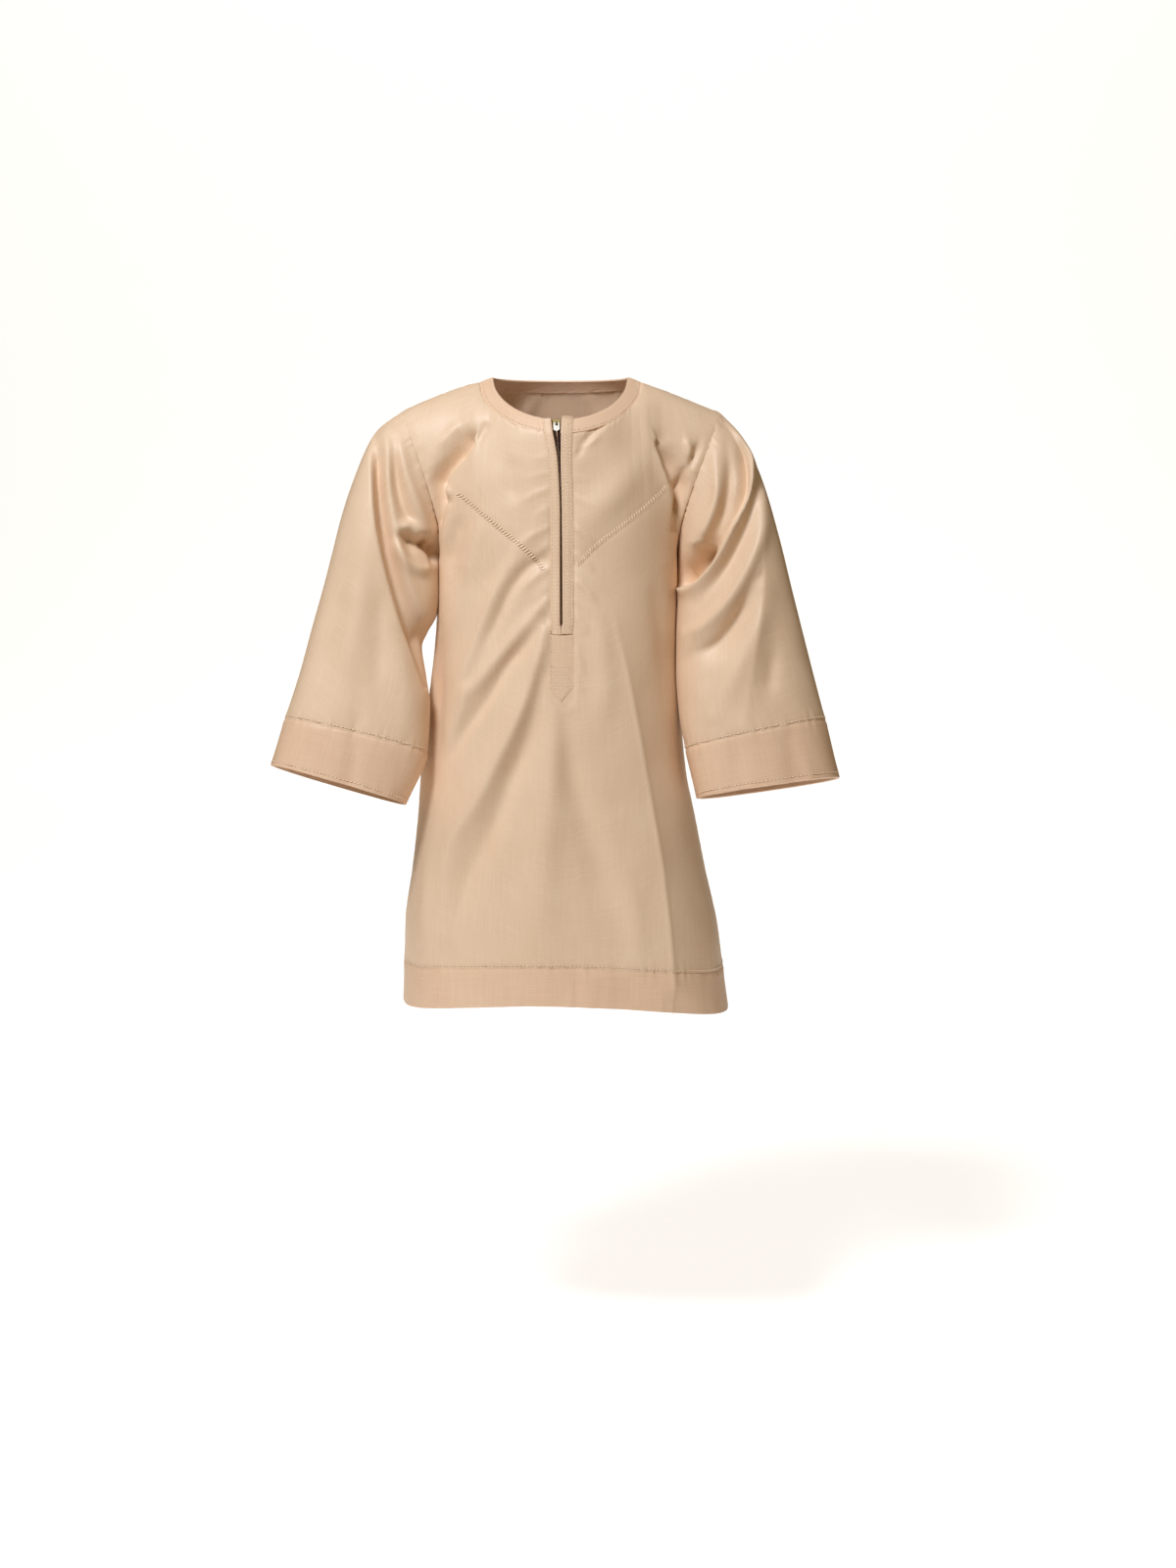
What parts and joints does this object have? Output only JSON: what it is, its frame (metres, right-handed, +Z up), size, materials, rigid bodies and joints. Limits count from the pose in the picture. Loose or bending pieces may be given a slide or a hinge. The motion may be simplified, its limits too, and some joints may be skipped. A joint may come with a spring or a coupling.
{
  "type": "thobe robe",
  "caption": "Toddler's short thobe in peach cotton, in the form it takes when worn: wide sleeves with doubled cuffs, bound round neck, zip placket with a pointed tab, doubled hem.",
  "frame": {"origin": "midway between the two neck points, where the robe hangs on its wearer's shoulders", "axes": "+Z up along the wearer, -Y out of the front with the zip, +X towards the wearer's left"},
  "size_m": [0.412, 0.1711, 0.4673],
  "materials": {
    "cloth": "plain peach cotton with a faint sheen",
    "band_cloth": "the same cotton doubled, slightly pinker",
    "placket_cloth": "the same cotton under dense stitching",
    "zip_tape": "matt brown woven tape with a coil",
    "slider_metal": "dull antique",
    "pull_metal": "satin"
  },
  "bodies": {
    "root": {"front_panel": "cloth", "back_panel": "cloth", "sleeve_right": "cloth", "sleeve_left": "cloth", "hem_front": "band_cloth", "hem_back": "band_cloth", "cuff_right": "band_cloth", "cuff_left": "band_cloth", "neck_binding": "band_cloth", "placket_right": "placket_cloth", "placket_left": "placket_cloth", "placket_tab": "placket_cloth", "zip_tape_right": "zip_tape", "zip_tape_left": "zip_tape", "zip_slider": "slider_metal"},
    "pull_tab": {"zip_pull": "pull_metal"}
  },
  "joints": [
    {"name": "pull_tab_hinge", "type": "hinge", "parent": "root", "child": "pull_tab", "pos_m": [-0.00294, -0.04785, -0.02549], "axis": [-1, 0, 0], "range_deg": [0, 150]}
  ]
}
